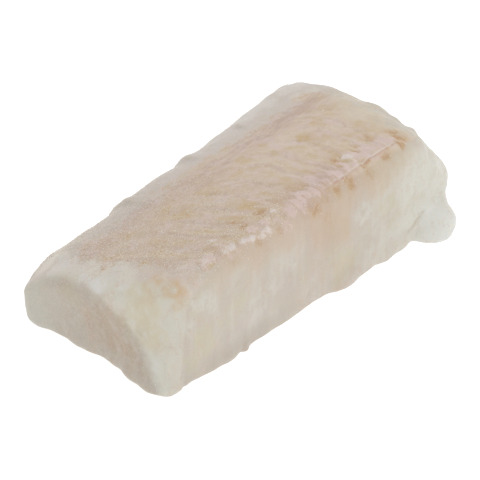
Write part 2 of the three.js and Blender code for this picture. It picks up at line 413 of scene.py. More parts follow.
# Patches on the tail cut, and the stains on its upper edge, by their y and z.
WHITE_ON_CUT = [
    (0.9, 26.0, 4.2, 1.0),
    (-4.8, 27.4, 2.6, 0.8),
    (-18.5, 2.6, 2.2, 0.6),
    (6.8, 25.0, 2.6, 0.9),
    (23.3, 21.5, 3.6, 0.6),
    (-18.2, 8.5, 2.6, 0.4),
]
GREEN_ON_CUT = [
    (-8.2, 29.0, 5.0, 0.8),
    (-13.2, 22.0, 6.0, 0.9),
    (-17.2, 17.0, 5.0, 1.0),
    (4.3, 24.5, 2.4, 0.6),
]
MINT_ON_CUT = [
    (-17.7, 8.5, 5.0, 0.9),
    (-22.2, 5.0, 4.0, 0.9),
    (-23.2, 20.0, 3.0, 0.8),
]
STAINS = [
    (-14.4, 30.2, 1.6, 0.75),
    (-14.8, 27.8, 1.8, 0.2),
    (-17.5, 31.4, 2.0, 0.15),
    (-20.2, 31.5, 1.9, 0.85),
    (-18.2, 30.1, 1.5, 0.6),
    (-22.4, 30.2, 1.6, 0.85),
    (-22.8, 27.6, 1.5, 0.55),
]

# The stripe down the hollow, brown flesh deepened with painted shade where the hollow turns away from the
# light, and the olive line between it and the rim, by their y and z.
STRIPE_AND_SHADE_ON_CUT = [
    (2.2, 17.8, 2.6, 0.7),
    (0.5, 16.0, 3.8, 0.8),
    (5.5, 12.5, 3.2, 0.8),
    (0.0, 12.0, 4.2, 0.85),
    (-5.8, 14.3, 2.8, 0.8),
    (-5.5, 10.5, 4.0, 0.9),
    (3.5, 8.0, 3.6, 0.55),
    (-1.5, 8.0, 4.0, 0.85),
    (-10.0, 9.5, 3.4, 0.9),
    (-12.8, 8.0, 2.4, 0.6),
    (-10.5, 5.5, 3.0, 0.55),
    (-15.2, 5.0, 2.2, 0.45),
]
OLIVE_ON_CUT = [
    (11.8, 19.5, 2.2, 0.8),
    (-1.0, 23.0, 1.6, 0.4),
    (-4.4, 19.0, 1.5, 0.4),
    (-6.8, 17.6, 1.8, 0.9),
    (-9.3, 14.6, 1.6, 0.7),
    (9.5, 17.5, 2.4, 0.5),
    (-13.4, 15.8, 1.8, 0.5),
]

# Patches on the back side, by their x and z.
GREEN_ON_SIDE = [
    (10.5, 8.0, 6.0, 1.0),
    (5.5, 15.0, 4.0, 0.7),
    (-35.0, 18.5, 3.5, 0.7),
    (-49.5, 12.0, 4.5, 1.0),
    (-54.5, 7.5, 3.0, 0.8),
    (-52.0, 26.0, 4.0, 0.6),
    (30.0, 15.0, 4.0, 0.5),
    (26.8, 18.9, 4.0, 0.8),
]
MAUVE_ON_SIDE = [
    (-39.0, 6.0, 7.0, 0.9),
    (-23.0, 4.0, 8.0, 0.7),
    (-15.0, 14.0, 6.0, 0.6),
    (-32.0, 11.0, 5.0, 0.6),
    (24.0, 14.0, 5.0, 0.5),
]
WHITE_ON_SIDE = [
    (-12.5, 19.5, 3.0, 0.8),
    (-5.0, 7.0, 4.0, 0.7),
    (-28.0, 8.0, 4.0, 0.5),
    (-49.5, 26.0, 3.6, 0.9),
    (-54.0, 27.5, 2.6, 0.9),
    (12.5, 0.5, 3.5, 1.0),
    (-2.9, 3.4, 3.0, 0.8),
    (-59.4, 3.4, 3.4, 1.0),
    (-46.0, 23.0, 3.0, 0.6),
    (-57.0, 20.0, 3.6, 0.6),
    (16.5, 21.0, 3.6, 0.9),
    (19.0, 6.0, 4.0, 0.5),
]

# Each swell or nub is its place, its reach towards the tail, towards the head and across, and its height,
# which is below nought for a hollow.

# Broad swells and hollows of the outline.
SWELLS = [
    (-35.0, 28.4, 21.4, 12.0, 8.0, 7.0, -0.6),
    (-47.0, 28.1, 20.3, 4.0, 4.0, 6.0, -0.5),
    (17.0, 26.8, 28.0, 6.0, 6.0, 5.0, -0.6),
    (-27.2, 29.0, 21.4, 3.2, 1.8, 5.0, -0.7),
    (-0.2, 27.6, 25.0, 2.2, 1.6, 4.0, -0.5),
    (49.5, 29.0, 29.3, 3.0, 3.0, 4.0, 0.45),
    (-59.7, 31.7, 9.5, 4.0, 4.0, 4.0, -0.4),
    (54.0, 23.5, 30.5, 3.0, 3.0, 4.0, -0.5),
    (55.0, -2.0, 31.0, 4.0, 4.0, 4.5, 1.0),
    (56.0, 14.5, 31.0, 4.0, 3.0, 5.0, 0.5),
    (57.3, -26.7, 9.5, 4.0, 4.0, 4.0, -0.9),
    (57.5, -21.0, 23.0, 5.0, 5.0, 6.5, -0.6),
    (53.5, -13.9, 29.3, 4.0, 4.0, 4.0, -0.4),
    (-59.5, 9.0, 0.5, 3.0, 3.0, 6.0, 0.6),
    (-62.0, -10.0, 0.5, 3.0, 3.0, 5.0, 0.4),
    (-62.6, -21.8, 0.5, 3.0, 3.0, 3.0, 0.4),
    (-41.0, -24.1, 0.6, 5.0, 5.0, 3.0, 0.7),
    (-25.0, -23.8, 0.7, 4.0, 4.0, 3.0, 0.4),
    (-17.0, -24.0, 0.5, 4.0, 4.0, 3.0, 0.6),
    (9.5, -24.5, 0.6, 3.5, 4.5, 3.0, 1.2),
    (-2.0, -24.5, 0.6, 4.0, 4.0, 3.0, -0.45),
    (-51.5, -24.4, 0.8, 4.0, 4.0, 3.0, -0.6),
    (-56.5, -24.0, 0.8, 3.0, 3.0, 3.0, -0.3),
    (30.1, -26.4, 0.6, 5.0, 5.0, 3.0, 0.5),
]

# Nubs on the outline, most of them steeper on one side.
NUBS = [
    (-54.6, 21.9, 22.5, 0.9, 2.4, 3.0, 0.5),
    (-48.8, 21.7, 24.0, 0.9, 2.4, 3.0, 0.5),
    (-24.6, 24.3, 25.0, 0.9, 3.0, 5.0, 1.1),
    (2.2, 25.3, 26.5, 0.7, 2.6, 4.0, 1.0),
    (23.0, 24.3, 29.1, 0.7, 2.6, 4.0, 0.9),
    (42.8, 26.3, 30.2, 1.4, 5.0, 5.0, 0.9),
    (50.8, 4.2, 32.6, 5.0, 0.8, 4.0, 1.3),
    (54.0, -10.0, 29.5, 3.0, 1.4, 3.0, 0.9),
    (54.0, -15.7, 28.5, 3.0, 1.4, 2.2, 1.0),
    (48.5, -22.7, 30.4, 3.0, 2.0, 3.0, 0.7),
    (-32.1, -24.5, 1.2, 1.0, 1.4, 1.4, 1.0),
    (-58.3, -24.2, 2.6, 1.0, 1.2, 1.6, 0.7),
    (-55.6, -24.7, 1.6, 1.2, 1.6, 1.8, 0.6),
    (13.0, -25.0, 1.2, 10.0, 4.0, 4.0, 1.0),
]


def outline_relief(at):
    """How far the swells and nubs stand out."""
    total = np.zeros_like(at.x)
    for x, y, z, to_tail, to_head, across, height in SWELLS + NUBS:
        along = (at.x - x) / np.where(at.x < x, to_tail, to_head)
        sideways = np.hypot(at.y - y, at.z - z) / across
        total += height * bump(np.hypot(along, sideways), 1)
    return total


def furrows(at, shift=0.0):
    """The furrows between the muscle bands, or what lies that far past them, fading away from the line."""
    wandering = at.along_band - shift + 0.9 * lumps(at.x / 11, at.y / 11, at.z / 11, 2.2)
    from_furrow = (((wandering - BAND_PHASE) / BAND_SPACING + 0.5) % 1 - 0.5) * BAND_SPACING
    return bump(from_furrow, 1.1) * ramp(at.from_line, 0, 4) * (1 - ramp(at.from_line, 22, 32))


def flesh_relief(at):
    """How far each vertex stands out from the smooth loin, in millimetres."""
    x, y, z = at.x, at.y, at.z
    soft = 0.15 * at.mottle(21, 3.1) + 0.2 * at.mottle(8.5, 7.7) + 0.06 * at.mottle(3.2, 2.9)
    grainy = 0.025 * at.mottle(1.5, 5.9)

    strands = 0.05 * lumps(at.along_band / 1.4, at.from_line / 9, 0, 6.5) * (1 - ramp(y, 4, 12))
    strip = 0.06 * lumps(x / 16, y / 1.2, 0, 3.7) * bump(y - PINK_STRIP_Y, PINK_STRIP_REACH)
    bands = (strands - 0.14 * furrows(at)) * at.tan() + strip

    tufts = np.maximum(lumps(at.along_band / 1.5, at.from_line / 5, 0, 9.2), 0) * bump(at.from_line - 3, 4)
    broken = np.clip(0.3 - 1.1 * lumps(x / 3.1, 0, 0, 4.6), -0.2, 1)
    groove = bump(at.across, 1.7) * broken * ramp(-x, -THREAD_END - 4, -THREAD_END + 6)
    line = 0.22 * tufts - 0.34 * groove
    marks = 0.35 * at.spots(FRAGMENTS) + 0.25 * at.spots(LOBES, 3) - 0.35 * at.spots(AMBER_SPOTS)

    flutes = 0.14 * lumps(x / 5, 0, z / 24, 4.4) + 0.05 * lumps(x / 1.7, 0, z / 12, 8.8)
    side = flutes * (1 - at.top()) * ramp(np.abs(at.facing_y), 0.4, 0.9)
    foot = (0.2 + 0.3 * lumps(x / 5.5, y / 5.5, 0, 6.1)) * (1 - ramp(z, 1, 7))

    cut_marks = 0.05 * lumps(0, y / 1.8, z / 9, 1.7) + 0.15 * lumps(0, y / 6, z / 9, 5.1)
    tail = (cut_marks - 0.15 * at.smears(STRIPE_AND_SHADE_ON_CUT, y, z)) * at.tail_cut()
    flap = 0.9 * bump(at.from_chain(FLAP_SEAM), 2.6) - 0.25 * bump(at.from_chain(FLAP_CREASE), 0.8)

    shape = soft + grainy + bands + line + marks + side + tail + flap
    return shape * ramp(z, 0.2, 2.5) + foot * ramp(z, -0.5, 0.6) + outline_relief(at)


def softened(at):
    """Where the solid's crisp edges are rounded further: the hollow's rim and the seams of the flap."""
    rim = bump(at.from_hollow, 3.0) * at.tail_cut() * ramp(at.z, 0.5, 4)
    seam = bump(at.from_chain(FLAP_CREASE + FLAP_SEAM), 4.5)
    return np.maximum(rim, seam)


def store(mesh, name, values):
    """Keeps a number for each vertex under that name, for the material to read."""
    attribute = mesh.attributes.new(name, "FLOAT", "POINT")
    attribute.data.foreach_set("value", values.astype(np.float32))


def store_places(mesh, name, columns):
    """Keeps a place for each vertex under that name, for the material to read."""
    attribute = mesh.attributes.new(name, "FLOAT_VECTOR", "POINT")
    attribute.data.foreach_set("vector", np.stack(columns, axis=1).astype(np.float32).ravel())


def read_places(mesh):
    """The places of the vertices, in millimetres, and their normals."""
    places = np.zeros(len(mesh.vertices) * 3, np.float32)
    mesh.vertices.foreach_get("co", places)
    normals = np.zeros(len(mesh.vertices) * 3, np.float32)
    mesh.vertex_normals.foreach_get("vector", normals)
    return places.reshape(-1, 3).astype(float) / MM, normals.reshape(-1, 3).astype(float)


def write_places(mesh, places):
    mesh.vertices.foreach_set("co", (places * MM).astype(np.float32).ravel())
    mesh.update()


def select_only(piece):
    bpy.ops.object.select_all(action="DESELECT")
    piece.select_set(True)
    bpy.context.view_layer.objects.active = piece


def apply_modifier(piece, kind, **settings):
    """Adds a modifier with these settings and applies it."""
    modifier = piece.modifiers.new(kind, kind)
    for name, value in settings.items():
        setattr(modifier, name, value)
    select_only(piece)
    bpy.ops.object.modifier_apply(modifier=modifier.name)


# A Mix node also has sockets for numbers and vectors. These are its share and its sockets for colours.
MIX_SHARE = 0
MIX_FIRST = 6
MIX_SECOND = 7
MIX_RESULT = 2


class Recipe:
    """Adds shader nodes to a node tree and joins them up."""

    def __init__(self, tree):
        self.tree = tree

    def node(self, kind, sockets=None, **settings):
        made = self.tree.nodes.new(kind)
        for name, value in settings.items():
            setattr(made, name, value)
        for name, value in (sockets or {}).items():
            self.feed(made.inputs[name], value)
        return made

    def feed(self, socket, value):
        if isinstance(value, bpy.types.NodeSocket):
            self.tree.links.new(value, socket)
        elif value is not None:
            socket.default_value = value

    def stored(self, name):
        """A number that the mesh keeps for each vertex."""
        return self.node("ShaderNodeAttribute", attribute_name=name).outputs["Fac"]

    def scaled(self, vector, scale):
        return self.node("ShaderNodeMapping", {"Vector": vector, "Scale": scale}).outputs["Vector"]

    def noise(self, vector, detail=3.0, roughness=0.5):
        sockets = {"Vector": vector, "Scale": 1.0, "Detail": detail, "Roughness": roughness}
        return self.node("ShaderNodeTexNoise", sockets).outputs["Fac"]

    def math(self, operation, a, b=None):
        node = self.node("ShaderNodeMath", operation=operation)
        self.feed(node.inputs[0], a)
        self.feed(node.inputs[1], b)
        return node.outputs[0]

    def times(self, a, b):
        return self.math("MULTIPLY", a, b)

    def plus(self, a, b):
        return self.math("ADD", a, b)

    def ramp(self, value, start, stop, low=0.0, high=1.0):
        sockets = {"Value": value, "From Min": start, "From Max": stop, "To Min": low, "To Max": high}
        node = self.node("ShaderNodeMapRange", sockets, interpolation_type="SMOOTHSTEP")
        return node.outputs["Result"]

    def mix(self, share, a, b):
        node = self.node("ShaderNodeMix", data_type="RGBA")
        self.feed(node.inputs[MIX_SHARE], share)
        self.feed(node.inputs[MIX_FIRST], a)
        self.feed(node.inputs[MIX_SECOND], b)
        return node.outputs[MIX_RESULT]

    def tint(self, colour, share, tone):
        """That share of a tone over the colour."""
        return self.mix(share, colour, linear(tone))


def linear(colour):
    """A colour that was read off a screen, as red, green and blue from 0 to 255, for a shader socket."""
    shares = [channel / 255 for channel in colour]
    curved = [c / 12.92 if c <= 0.04045 else ((c + 0.055) / 1.055) ** 2.4 for c in shares]
    return (*curved, 1.0)


def streaks_group():
    """Noise at places that wander a little, so that streaks bend: a value about one half."""
    group = bpy.data.node_groups.new("Streaks", "ShaderNodeTree")
    group.interface.new_socket("Places", in_out="INPUT", socket_type="NodeSocketVector")
    group.interface.new_socket("Bends", in_out="INPUT", socket_type="NodeSocketFloat")
    group.interface.new_socket("Streaks", in_out="OUTPUT", socket_type="NodeSocketFloat")
    recipe = Recipe(group)
    source = group.nodes.new("NodeGroupInput")
    result = group.nodes.new("NodeGroupOutput")
    wander = recipe.noise(recipe.scaled(source.outputs["Places"], (0.4, 0.4, 0.4)), detail=1.0)
    shift = recipe.times(recipe.math("SUBTRACT", wander, 0.5), source.outputs["Bends"])
    offset = recipe.node("ShaderNodeCombineXYZ", {"X": shift, "Y": shift, "Z": 0.0})
    moved = recipe.node("ShaderNodeVectorMath", operation="ADD")
    recipe.feed(moved.inputs[0], source.outputs["Places"])
    recipe.feed(moved.inputs[1], offset.outputs["Vector"])
    pattern = recipe.noise(moved.outputs["Vector"], detail=4.0, roughness=0.6)
    recipe.feed(result.inputs["Streaks"], pattern)
    return group


# Colours as they show on a screen.
TAN_NEAR = (192, 173, 156)
TAN_FAR = (206, 190, 172)
YELLOW = (196, 174, 139)
YELLOW_DEEP = (192, 166, 126)
OCHRE = (187, 161, 128)
MAUVE = (206, 187, 181)
PINK_BROWN = (184, 161, 150)
SHOULDER_NEAR = (188, 179, 169)
SHOULDER_FAR = (198, 191, 183)
SHOULDER_MAUVE = (202, 190, 184)
SHOULDER_GREEN = (194, 189, 176)
EDGE_WHITE = (208, 202, 195)
EDGE_MAUVE = (203, 190, 180)
EDGE_PALE = (209, 202, 191)
HEAD_CREAM = (208, 197, 178)
SIDE = (194, 185, 172)
SIDE_GREEN = (195, 188, 165)
SIDE_MAUVE = (192, 181, 173)
SIDE_WHITE = (203, 199, 190)
SIDE_PEACH = (196, 177, 158)
SIDE_CREAM = (196, 182, 159)
FOOT_SHADE = (184, 175, 163)
# Painted shade at the foot of the sides.
SIDE_HEAD = (207, 205, 195)
FLAP_WHITE = (213, 213, 207)
# The hollow's greys are greyish flesh darkened with painted shade, where the hollow faces away from the
# light.
HOLLOW_SHADED = (180, 171, 158)
HOLLOW_GREY_SHADED = (176, 169, 159)
# Painted light: the hollow's half that faces the light.
HOLLOW_LIT = (184, 181, 169)
HOLLOW_SPECK = (198, 191, 183)
# Brown flesh of the stripe, deepened with painted shade.
STRIPE_AND_SHADE = (174, 155, 137)
OLIVE = (179, 169, 146)
CUT_PALE = (204, 199, 187)
CUT_GREEN = (202, 194, 172)
CUT_MINT = (202, 201, 189)
CUT_WHITE = (210, 208, 204)
AMBER = (184, 149, 112)
STAIN = (200, 175, 141)
LOBE = (206, 186, 179)
LINE_BROWN = (187, 161, 147)
LINE_WHITE = (214, 205, 200)
LINE_RED = (186, 144, 128)
DARK_GRAIN = (150, 132, 116)
PALE_GRAIN = (232, 224, 214)


class FleshRecipe(Recipe):
    """The patterns of the flesh, and the colours of its regions and marks."""

    def __init__(self, tree, streaks):
        super().__init__(tree)
        self.streaks = streaks
        self.place = self.scaled(self.node("ShaderNodeTexCoord").outputs["Object"], (1 / MM, 1 / MM, 1 / MM))
        self.bands = self.node("ShaderNodeAttribute", attribute_name="bands").outputs["Vector"]
        self.headward = self.stored("headward")
        self.blotch = self.noise(self.scaled(self.place, (0.11, 0.14, 0.14)), detail=3.0, roughness=0.55)
        self.mottle = self.noise(self.scaled(self.place, (0.38, 0.38, 0.38)), detail=3.0, roughness=0.6)
        self.dapple = self.noise(self.scaled(self.place, (-0.5, -0.5, -0.5)), detail=3.0, roughness=0.6)
        self.speck = self.noise(self.scaled(self.place, (1.5, 1.5, 1.5)), detail=2.0, roughness=0.6)
        self.stroke = self.streaked(self.bands, (0.7, 0.13, 0.0), 0.7)
        self.upright = self.streaked(self.place, (0.45, 0.45, 0.07), 0.6)

    def streaked(self, vector, scale, bends):
        node = self.node("ShaderNodeGroup", node_tree=self.streaks)
        self.feed(node.inputs["Places"], self.scaled(vector, scale))
        self.feed(node.inputs["Bends"], bends)
        return node.outputs["Streaks"]

    def patched(self, value, pattern, start, stop, low=0.0, high=1.0):
        """A value times a ramp of a pattern, so that it shows in patches."""
        return self.times(value, self.ramp(pattern, start, stop, low, high))

    def frayed(self, value, pattern, start, stop, low, high):
        """A value plus a ramp of a pattern, so that its edge is frayed."""
        return self.plus(value, self.ramp(pattern, start, stop, low, high))

    def skinned_top(self):
        """Tan, with yellowish muscle bands, mauve between them, and the pinkish strip."""
        broad = self.streaked(self.bands, (0.26, 0.13, 0.0), 0.7)
        fine = self.streaked(self.bands, (0.75, 0.2, 0.0), 0.7)
        along = self.streaked(self.place, (0.2, 0.9, 0.9), 0.8)
        colour = self.mix(self.headward, linear(TAN_NEAR), linear(TAN_FAR))
        colour = self.tint(colour, self.ramp(broad, 0.45, 0.6, 0.0, 0.75), YELLOW)
        ochre = self.patched(self.ramp(self.dapple, 0.5, 0.66, 0.0, 0.7), self.headward, 0.0, 1.0, 1.0, 0.3)
        colour = self.tint(colour, ochre, OCHRE)
        colour = self.tint(colour, self.ramp(fine, 0.5, 0.66, 0.0, 0.45), MAUVE)
        colour = self.tint(colour, self.ramp(self.mottle, 0.48, 0.66, 0.0, 0.55), MAUVE)
        ridge = self.patched(self.stored("ridge"), self.mottle, 0.35, 0.6, 0.0, 0.5)
        colour = self.tint(colour, ridge, YELLOW)
        furrow = self.patched(self.stored("furrow"), self.dapple, 0.38, 0.62, 0.0, 0.5)
        colour = self.tint(colour, furrow, PINK_BROWN)
        yellow = self.frayed(self.stored("yellow"), self.mottle, 0.3, 0.7, 0.2, -0.25)
        colour = self.tint(colour, self.ramp(yellow, 0.05, 1.0, 0.0, 0.8), YELLOW_DEEP)
        mauve = self.frayed(self.stored("mauve"), self.dapple, 0.3, 0.7, 0.2, -0.25)
        colour = self.tint(colour, self.ramp(mauve, 0.05, 1.0, 0.0, 0.85), MAUVE)
        strip = self.stored("strip")
        colour = self.tint(colour, self.patched(strip, along, 0.38, 0.62, 0.15, 0.9), PINK_BROWN)
        colour = self.tint(colour, self.patched(strip, self.mottle, 0.5, 0.64, 0.0, 0.55), MAUVE)
        return self.tint(colour, self.stored("head_cream"), HEAD_CREAM)

    def sides(self):
        """Creamy, greenish and whitish, peach or cream below the line, and darker at the foot with painted
        shade.
        """
        colour = self.mix(self.stored("side_head"), linear(SIDE), linear(SIDE_HEAD))
        colour = self.tint(colour, self.ramp(self.mottle, 0.5, 0.7, 0.0, 0.5), SIDE_GREEN)
        colour = self.tint(colour, self.ramp(self.blotch, 0.5, 0.7, 0.0, 0.5), SIDE_WHITE)
        tones = {"side_green": SIDE_GREEN, "side_mauve": SIDE_MAUVE, "side_white": SIDE_WHITE}
        for name, tone in tones.items():
            colour = self.tint(colour, self.patched(self.stored(name), self.mottle, 0.32, 0.56), tone)
        colour = self.tint(colour, self.ramp(self.upright, 0.52, 0.7, 0.0, 0.45), SIDE_WHITE)
        # Painted shade: the sides darker towards the foot.
        colour = self.tint(colour, self.stored("foot"), FOOT_SHADE)
        peach = self.patched(self.stored("peach"), self.upright, 0.3, 0.62, 0.65, 1.0)
        colour = self.tint(colour, peach, SIDE_PEACH)
        cream = self.patched(self.stored("cream"), self.upright, 0.35, 0.6, 0.4, 0.8)
        colour = self.tint(colour, cream, SIDE_CREAM)
        colour = self.tint(colour, self.stored("near_corner"), CUT_PALE)
        return self.tint(colour, self.stored("flap_white"), FLAP_WHITE)

    def pale_edges(self, sides):
        """The greyish rounded thin side, and the pale edges at both ends of the top."""
        shoulder = self.stored("shoulder")
        colour = self.mix(self.headward, linear(SHOULDER_NEAR), linear(SHOULDER_FAR))
        colour = self.mix(shoulder, sides, colour)
        colour = self.tint(colour, self.patched(shoulder, self.mottle, 0.42, 0.6, 0.1, 0.85), SHOULDER_MAUVE)
        colour = self.tint(colour, self.patched(shoulder, self.dapple, 0.5, 0.66, 0.0, 0.7), SHOULDER_GREEN)
        white = self.frayed(self.stored("edge_white"), self.mottle, 0.3, 0.7, -0.2, 0.2)
        colour = self.tint(colour, self.ramp(white, 0.1, 0.9, 0.0, 0.9), EDGE_WHITE)
        colour = self.tint(colour, self.stored("edge_mauve"), EDGE_MAUVE)
        return self.tint(colour, self.stored("edge_pale"), EDGE_PALE)

    def tail_cut(self):
        """Pale and greenish round the hollow, which is greyish flesh darkened with painted shade, lighter
        towards the thin side with painted light, and has a brown stripe down it that is deepened with
        painted shade.
        """
        around = self.tint(linear(CUT_PALE), self.ramp(self.blotch, 0.4, 0.6, 0.0, 0.4), CUT_MINT)
        tones = {"cut_green": CUT_GREEN, "cut_mint": CUT_MINT, "cut_white": CUT_WHITE}
        for name, tone in tones.items():
            around = self.tint(around, self.patched(self.stored(name), self.mottle, 0.3, 0.5), tone)
        # Inside the hollow: greyish flesh darkened with painted shade.
        shaded_inside = self.tint(linear(HOLLOW_SHADED), self.ramp(self.mottle, 0.45, 0.65, 0.0, 0.7), HOLLOW_GREY_SHADED)
        shaded_inside = self.tint(shaded_inside, self.ramp(self.dapple, 0.5, 0.68, 0.0, 0.35), OLIVE)
        # Painted light: the hollow is lighter towards the thin side, where it faces the light.
        shaded_inside = self.tint(shaded_inside, self.stored("hollow_lit"), HOLLOW_LIT)
        shaded_inside = self.tint(shaded_inside, self.ramp(self.speck, 0.5, 0.68, 0.0, 0.3), HOLLOW_SPECK)
        colour = self.mix(self.stored("hollow"), around, shaded_inside)
        olive = self.patched(self.stored("olive"), self.mottle, 0.3, 0.55, 0.4, 1.0)
        colour = self.tint(colour, olive, OLIVE)
        # The stripe: brown flesh deepened with painted shade where the hollow turns away from the light.
        stripe_and_shade = self.frayed(self.stored("stripe_and_shade"), self.mottle, 0.3, 0.65, -0.25, 0.2)
        colour = self.tint(colour, self.ramp(stripe_and_shade, 0.0, 1.1, 0.0, 0.95), STRIPE_AND_SHADE)
        stripe_olive = self.patched(self.stored("stripe_and_shade"), self.dapple, 0.5, 0.62, 0.0, 0.6)
        return self.tint(colour, stripe_olive, OLIVE)

    def regions(self):
        """The sides, the edges, the top over them and the tail cut, each where its mask is."""
        tan = self.frayed(self.stored("tan"), self.speck, 0.3, 0.7, -0.25, 0.25)
        tan = self.frayed(tan, self.dapple, 0.3, 0.7, -0.25, 0.25)
        colour = self.mix(self.ramp(tan, 0.1, 0.9), self.pale_edges(self.sides()), self.skinned_top())
        colour = self.mix(self.stored("cut"), colour, self.tail_cut())
        return self.tint(colour, self.patched(self.stored("stain"), self.mottle, 0.3, 0.55, 0.4, 1.0), STAIN)

    def with_line_marks(self, colour):
        """The amber spots, tufts, lobes, brown marks and whitish fragments along the line."""
        by_line = self.patched(self.stored("by_line"), self.speck, 0.3, 0.6, 0.5, 0.9)
        colour = self.tint(colour, by_line, LINE_BROWN)
        halo = self.patched(self.stored("amber"), self.mottle, 0.3, 0.55, 0.45, 0.75)
        colour = self.tint(colour, halo, YELLOW_DEEP)
        amber = self.frayed(self.stored("amber"), self.stroke, 0.35, 0.65, -0.3, 0.3)
        amber = self.frayed(amber, self.speck, 0.3, 0.7, -0.15, 0.15)
        colour = self.tint(colour, self.ramp(amber, 0.1, 1.2), AMBER)
        tufts = self.frayed(self.stored("tufts"), self.stroke, 0.35, 0.65, -0.4, 0.4)
        colour = self.tint(colour, self.ramp(tufts, 0.4, 0.8, 0.0, 0.85), MAUVE)
        lobes = self.frayed(self.stored("lobes"), self.stroke, 0.35, 0.65, -0.3, 0.3)
        lobes = self.frayed(lobes, self.speck, 0.3, 0.7, -0.3, 0.3)
        colour = self.tint(colour, self.ramp(lobes, 0.25, 0.9, 0.0, 0.95), LOBE)
        brown = self.patched(self.stored("brown"), self.stroke, 0.3, 0.6, 0.6, 1.0)
        colour = self.tint(colour, brown, LINE_BROWN)
        white = self.frayed(self.stored("fragments"), self.speck, 0.3, 0.7, -0.3, 0.3)
        return self.tint(colour, self.ramp(white, 0.2, 1.0, 0.0, 0.88), LINE_WHITE)

    def with_thread(self, colour):
        """The pale thread of the lateral line, with red close below it."""
        wander = self.noise(self.scaled(self.place, (0.25, 0.0, 0.0)), detail=2.0)
        across = self.node("ShaderNodeSeparateXYZ", {"Vector": self.bands}).outputs["Y"]
        from_thread = self.frayed(across, wander, 0.3, 0.7, -0.25, 0.25)
        red = self.ramp(self.math("ABSOLUTE", self.plus(from_thread, 0.55)), 0.1, 0.55, 0.5, 0.0)
        red = self.patched(red, self.mottle, 0.35, 0.6, 0.3, 1.0)
        colour = self.tint(colour, self.times(self.stored("thread"), red), LINE_RED)
        pale = self.ramp(self.math("ABSOLUTE", from_thread), 0.05, 0.5, 0.75, 0.0)
        return self.tint(colour, self.times(self.stored("thread_white"), pale), LINE_WHITE)

    def with_grain(self, colour):
        """The olive crease of the flap, and fine dark and pale grain all over."""
        crease = self.patched(self.stored("crease"), self.speck, 0.3, 0.6, 0.2, 0.6)
        colour = self.tint(colour, crease, OLIVE)
        fleck = self.noise(self.scaled(self.place, (3.0, 3.0, 3.0)), detail=2.0, roughness=0.7)
        colour = self.tint(colour, self.patched(self.stored("grainy"), fleck, 0.5, 0.7), DARK_GRAIN)
        return self.tint(colour, self.patched(self.stored("grainy"), fleck, 0.5, 0.3), PALE_GRAIN)


def flesh_material(streaks):
    """Raw white fish: tan and pinkish on the skinned top, creamy white on the sides and cuts."""
    material = bpy.data.materials.new("cod_flesh")
    material.use_nodes = True
    shader = material.node_tree.nodes["Principled BSDF"]
    recipe = FleshRecipe(material.node_tree, streaks)
    colour = recipe.with_grain(recipe.with_thread(recipe.with_line_marks(recipe.regions())))
    grain = recipe.noise(recipe.scaled(recipe.place, (1.7, 1.7, 1.7)), detail=3.0, roughness=0.6)
    rough = recipe.node("ShaderNodeBump", {"Strength": 0.4, "Distance": 0.3 * MM, "Height": grain})
    recipe.feed(shader.inputs["Base Color"], colour)
    recipe.feed(shader.inputs["Normal"], rough.outputs["Normal"])
    recipe.feed(shader.inputs["Roughness"], recipe.ramp(recipe.mottle, 0.3, 0.7, 0.42, 0.58))
    shader.inputs["Subsurface Weight"].default_value = 0.5
    shader.inputs["Subsurface Radius"].default_value = (1.0, 0.75, 0.55)
    shader.inputs["Subsurface Scale"].default_value = 2.0 * MM
    shader.inputs["Specular IOR Level"].default_value = 0.4
    return material


def top_masks(at):
    """Masks of the skinned top and of the patches on it."""
    return {
        "tan": at.tan(),
        "headward": ramp(at.x + 3 * at.patchy, -45, 20),
        "strip": bump(at.y - PINK_STRIP_Y - 1.5 * at.patchy - 3 * bump(at.x + 30, 12), PINK_STRIP_REACH),
        "head_cream": 0.75 * ramp(at.x + 2 * at.patchy, 39, 47) * (1 - ramp(at.y - (at.x - 47), 4, 12)),
        "furrow": furrows(at),
        "ridge": furrows(at, 0.4 * BAND_SPACING),
        "yellow": at.spots(YELLOW_ON_TOP),
        "mauve": at.spots(MAUVE_ON_TOP),
        "brown": at.spots(BROWN_ON_TOP),
    }


def edge_masks(at):
    """Masks of the pale edges round the top."""
    x, y, z = at.x, at.y, at.z
    upward = ramp(at.facing_up, 0.2, 0.5)
    at_far_end = 0.8 * ramp(x, 8, 34) * ramp(y + at.patchy, 20, 25.5)
    at_near_end = (1 - ramp(at.past_tail_edge + at.patchy, -3, 1.5)) * upward * ramp(x, -64, -62)
    past_ridge = ramp(y + at.patchy, -9, -2)
    edge_white = 0.85 * at_near_end * past_ridge * (1 - ramp(y, 20, 26))
    corner = (1 - ramp(x + at.patchy, -57, -50.5)) * ramp(z - 8 * (x + 57.5), 9, 15)
    return {
        "shoulder": at.top() * ramp(y, 10, 18),
        "edge_white": np.maximum(at_far_end, edge_white) * ramp(z, 12, 16),
        "edge_mauve": 0.8 * at_near_end * (1 - past_ridge),
        "edge_pale": at.patches(PALE_ON_EDGE, x, y) * upward,
        "near_corner": 0.75 * corner * at.back_side(),
    }


